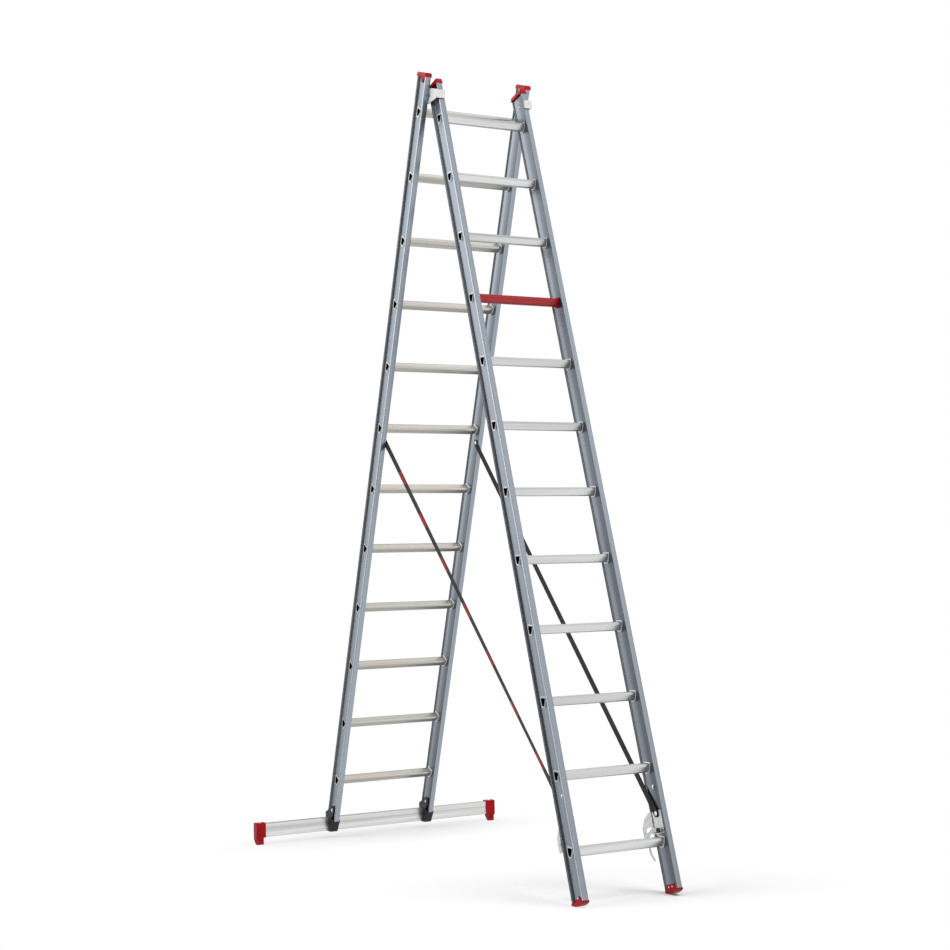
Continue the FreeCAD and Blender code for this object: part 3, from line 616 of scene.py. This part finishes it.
def rung_outline(grow):
    """Rounded outline of a rung grown all round, as (y, z) points in its section's frame."""
    right = [(RUNG_HALF_WIDTH + grow, RUNG_TOP + grow, 0.0025 + grow / 2),
             (RUNG_HALF_WIDTH + grow, 0.005, 0.006 + grow),
             (0.008 + 0.8 * grow, -RUNG_BOTTOM - grow, 0.0065 + grow)]
    corners = right + [(-y, z, radius) for y, z, radius in reversed(right)]
    tilt = Matrix.Rotation(math.radians(RUNG_TILT), 2)
    points = []
    for i, (y, z, radius) in enumerate(corners):
        here = Vector((y, z))
        before = (Vector(corners[i - 1][:2]) - here).normalized()
        after = (Vector(corners[(i + 1) % len(corners)][:2]) - here).normalized()
        half = before.angle(after) / 2
        middle = here + (before + after).normalized() * (radius / math.sin(half))
        start = here + before * (radius / math.tan(half)) - middle
        first = math.atan2(start.y, start.x)
        for step in range(BEND_STEPS + 1):
            angle = first - (math.pi - 2 * half) * step / BEND_STEPS
            points.append(tilt @ (middle + Vector((math.cos(angle), math.sin(angle))) * radius))
    return points


def rung_beads(name, section, web, skipped, body, finish):
    """The rounded bead round each end of every rung, on the inner side of the stiles."""
    bm = bmesh.new()
    outline = rung_outline(BEAD_GROW)
    for i in (i for i in range(RUNG_COUNT) if i not in skipped):
        for side in (-1, 1):
            x = side * (web - BEAD_STANDOUT)
            tube(bm, [Vector((x, y, z - i * RUNG_PITCH)) for y, z in outline], BEAD_RADIUS, 8, closed=True)
    made = from_bmesh(f"rung_beads_{name}", bm, section.matrix)
    bmesh_normals(made)
    return finished(made, body, "rung_aluminium", finish["rung_bead"])


def punch_marks(side, finish):
    """Three small raised punch marks under each rung on the floor of the fly stile's groove."""
    name = "right" if side > 0 else "left"
    bm = bmesh.new()
    for i in range(RUNG_COUNT):
        for y, drop in ((-0.006, 0.030), (0.0, 0.0315), (0.006, 0.030)):
            z = -i * RUNG_PITCH - drop
            where = Vector((side * FLY_OUTER_WEB, y, z))
            lens = bmesh.ops.create_uvsphere(bm, u_segments=14, v_segments=7, radius=0.0011)
            flat = Matrix.Translation(where) @ Matrix.Diagonal((0.25, 1, 1, 1))
            bmesh.ops.transform(bm, matrix=flat, verts=lens["verts"])
    made = from_bmesh(f"punch_marks_{name}", bm, FLY.matrix)
    return finished(made, "fly_section", "stile_aluminium", finish["stile_fly"])


# ---- finishes on the CAD nodes ------------------------------------------------------------------
def cad_finishes(finish):
    """Every CAD node's material, from the slot that SLOT_WORDS gives its name."""
    for name, node in NODES.items():
        slot = slot_of(name)
        if slot in ("stile_aluminium", "rung_aluminium"):
            slot = slot.replace("aluminium", "base" if name.startswith("base") else "fly")
        node.data.materials.clear()
        node.data.materials.append(finish[slot])


SLOT_WORDS = {
    "fly_rung_04": "red_coating", "rung": "rung_aluminium", "base_stile": "stile_aluminium",
    "fly_stile": "stile_aluminium", "top_cap": "red_plastic", "foot_rivets": "rivet_aluminium",
    "fly_foot": "red_plastic", "bracket_rivets": "rivet_aluminium", "guide_bracket": "bracket_enamel",
    "studs": "zinc_steel", "rollers": "white_nylon", "stabiliser_bar": "bar_aluminium",
    "stabiliser_foot": "red_plastic", "shoe_bolts": "zinc_steel", "stile_shoe": "black_plastic",
    "hook_plate": "hook_steel", "fasteners": "zinc_steel", "catch_pins": "zinc_steel",
    "catch_covers": "black_plastic", "hook_catch": "catch_steel", "strap_bolts": "zinc_steel",
    "strap": "strap_webbing",
}


def slot_of(name):
    return next(slot for word, slot in SLOT_WORDS.items() if word in name)


# ---- stage --------------------------------------------------------------------------------------
CAMERA_PLACE = (-3.271, -5.8298, 1.1168)
CAMERA_TURN = (29.199, 4.885, -1.414) # yaw, pitch and roll
CAMERA_LENS = 66.2                    # millimetres, on a sensor 36 wide
CAMERA_SHIFT = -0.0632


def camera():
    """The camera, at the photograph's viewing angle."""
    yaw, pitch, roll = (math.radians(a) for a in CAMERA_TURN)
    ahead = Vector((math.sin(yaw) * math.cos(pitch), math.cos(yaw) * math.cos(pitch), math.sin(pitch)))
    level = Vector((math.cos(yaw), -math.sin(yaw), 0))
    up = level.cross(ahead)
    right = level * math.cos(roll) + up * math.sin(roll)
    top = up * math.cos(roll) - level * math.sin(roll)
    turn = Matrix((right, top, -ahead)).transposed()
    data = bpy.data.cameras.new("camera")
    data.sensor_width = 36
    data.lens = CAMERA_LENS
    data.shift_y = CAMERA_SHIFT
    data.clip_end = 200
    made = bpy.data.objects.new("camera", data)
    made.matrix_world = Matrix.Translation(CAMERA_PLACE) @ turn.to_4x4()
    bpy.context.scene.collection.objects.link(made)
    bpy.context.scene.camera = made


def floor():
    """White floor that glows white away from the ladder, into the white backdrop; round the feet and under
    the stabiliser bar it is a lit grey floor instead, a painted shadow on which the real shadows fall.
    """
    bm = bmesh.new()
    bmesh.ops.create_grid(bm, x_segments=1, y_segments=1, size=60)
    made = from_bmesh("floor", bm, Matrix.Identity(4))
    made.visible_glossy = False
    f = Finish("floor", 0.0, Roughness=0.9)
    f.shader.inputs["Specular IOR Level"].default_value = 0.0
    f.shader.inputs["Emission Color"].default_value = (1, 1, 1, 1)
    place = f.node("ShaderNodeTexCoord").outputs["Object"]
    shares = []
    for centre, turn, reach, least in FLOOR_PAINTED_SHADOWS:
        inputs = {"Vector": place, "Location": (*centre, 0), "Rotation": (0, 0, math.radians(turn)),
                  "Scale": (*reach, 1)}
        local = f.node("ShaderNodeMapping", inputs, vector_type="TEXTURE").outputs[0]
        away = f.node("ShaderNodeVectorMath", {0: local}, operation="LENGTH").outputs["Value"]
        shares.append(f.band(away, 0.3, 1.0, least, 1.0))
    # Painted shadows: inside each patch the glow gives way to a lit grey floor, on which the real shadows
    # fall.
    fade = f.math("MULTIPLY", *shares)
    f.colour(f.mix(fade, FLOOR_WHITE, [0, 0, 0, 1]))
    f.tree.links.new(fade, f.shader.inputs["Emission Strength"])
    made.data.materials.append(f.material)


def softbox(name, place, aim, size, power):
    data = bpy.data.lights.new(name, "AREA")
    data.shape = "RECTANGLE"
    data.size, data.size_y = size
    data.energy = power
    made = bpy.data.objects.new(name, data)
    made.location = place
    made.rotation_mode = "QUATERNION"
    made.rotation_quaternion = (Vector(aim) - Vector(place)).to_track_quat("-Z", "Y")
    made.visible_camera = False
    made.visible_glossy = False
    bpy.context.scene.collection.objects.link(made)


class Room:
    """World light: a level for each direction, made of soft-edged patches, and a white backdrop."""

    def __init__(self):
        world = bpy.data.worlds.new("studio")
        world.use_nodes = True
        bpy.context.scene.world = world
        self.tree = world.node_tree
        self.look = self.node("ShaderNodeTexCoord", {})["Generated"]
        self.height = self.node("ShaderNodeSeparateXYZ", {0: self.look})[2]
        self.level = self.ramp(self.height, ROOM_HORIZON, ROOM_CEILING)

    def node(self, kind, inputs, **settings):
        made = self.tree.nodes.new(kind)
        for key, value in settings.items():
            setattr(made, key, value)
        for socket, value in inputs.items():
            if isinstance(value, bpy.types.NodeSocket):
                self.tree.links.new(value, made.inputs[socket])
            else:
                made.inputs[socket].default_value = value
        return made.outputs

    def ramp(self, value, low, high):
        """A smooth step between two (value, level) pairs."""
        inputs = {"Value": value, 1: low[0], 2: high[0], 3: low[1], 4: high[1]}
        return self.node("ShaderNodeMapRange", inputs, interpolation_type="SMOOTHSTEP")[0]

    def patch(self, towards, inner, outer, level, tall=1.0):
        """Changes the level to another one inside a soft patch; tall stretches it upright."""
        squeeze = (1, 1, 1 / tall)
        look = self.node("ShaderNodeVectorMath", {0: self.look, 1: squeeze}, operation="MULTIPLY")[0]
        look = self.node("ShaderNodeVectorMath", {0: look}, operation="NORMALIZE")[0]
        aim = Vector(towards)
        aim.z /= tall
        facing = self.node("ShaderNodeVectorMath", {0: look, 1: aim.normalized()}, operation="DOT_PRODUCT")
        edge = math.cos(math.radians(outer)), math.cos(math.radians(inner))
        share = self.ramp(facing["Value"], (edge[0], 0.0), (edge[1], 1.0))
        mixed = self.node("ShaderNodeMix", {0: share, 2: self.level, 3: level}, data_type="FLOAT")
        self.level = mixed[0]

    def finish(self):
        seen = self.node("ShaderNodeLightPath", {})["Is Camera Ray"]
        shown = self.node("ShaderNodeMix", {0: seen, 2: self.level, 3: 1.0}, data_type="FLOAT")[0]
        background = self.tree.nodes["Background"]
        background.inputs["Color"].default_value = (1, 1, 1, 1)
        self.tree.links.new(shown, background.inputs["Strength"])


FLOOR_WHITE = [0.54, 0.54, 0.54, 1]
FLOOR_PAINTED_SHADOWS = (                            # painted shadows on the floor: centre, turn, reaches, least glow
    ((0.11, -0.7), -29.2, (0.95, 0.46), 0.0),
    ((0.0, 0.9), 0.0, (0.9, 0.36), 0.5),
)
ROOM_HORIZON = (0.0, 0.72)            # height of a direction, and the room's level there
ROOM_CEILING = (0.75, 1.15)


def studio():
    """A white studio with two softboxes and an unlit corner to the front left."""
    room = Room()
    back_left = room.ramp(room.height, (-0.2, 0.72), (0.3, 1.7))
    room.patch((-0.49, 0.87, 0.1), 18, 45, back_left, 1.5)
    front_right = room.ramp(room.height, (-0.1, 1.25), (0.25, 0.8))
    room.patch((0.5, -0.85, -0.2), 20, 50, front_right, 1.5)
    room.patch((0.5, -0.85, 0.78), 12, 26, 1.2)
    room.patch((0.2, 0.98, 0.0), 8, 20, 0.05, 3.0)
    room.patch((-0.95, 0.3, 0.2), 6, 16, 2.4, 3.0)
    room.patch((-0.93, -0.33, 0.06), 16, 32, 0.04, 2.5)
    room.finish()
    softbox("left_box", (-2.8, 0.4, 3.2), (0, -0.6, 0.4), (2.2, 2.2), 95)
    softbox("right_box", (1.2, -2.7, 4.1), (0, -0.6, 0.0), (2.2, 2.2), 140)
    view = bpy.context.scene.view_settings
    view.view_transform = "Standard"
    view.look = "None"


# ---- build --------------------------------------------------------------------------------------
camera()
FINISH = finishes()
cad_finishes(FINISH)
for hand in (1, -1):
    Strap(hand).build(FINISH)
    catch_spring(hand, FINISH)
    punch_marks(hand, FINISH)
rung_beads("fly", FLY, FLY_WEB, (RED_RUNG,), "fly_section", FINISH)
rung_beads("base", BASE, BASE_WEB, (), "base_section", FINISH)
floor()
studio()
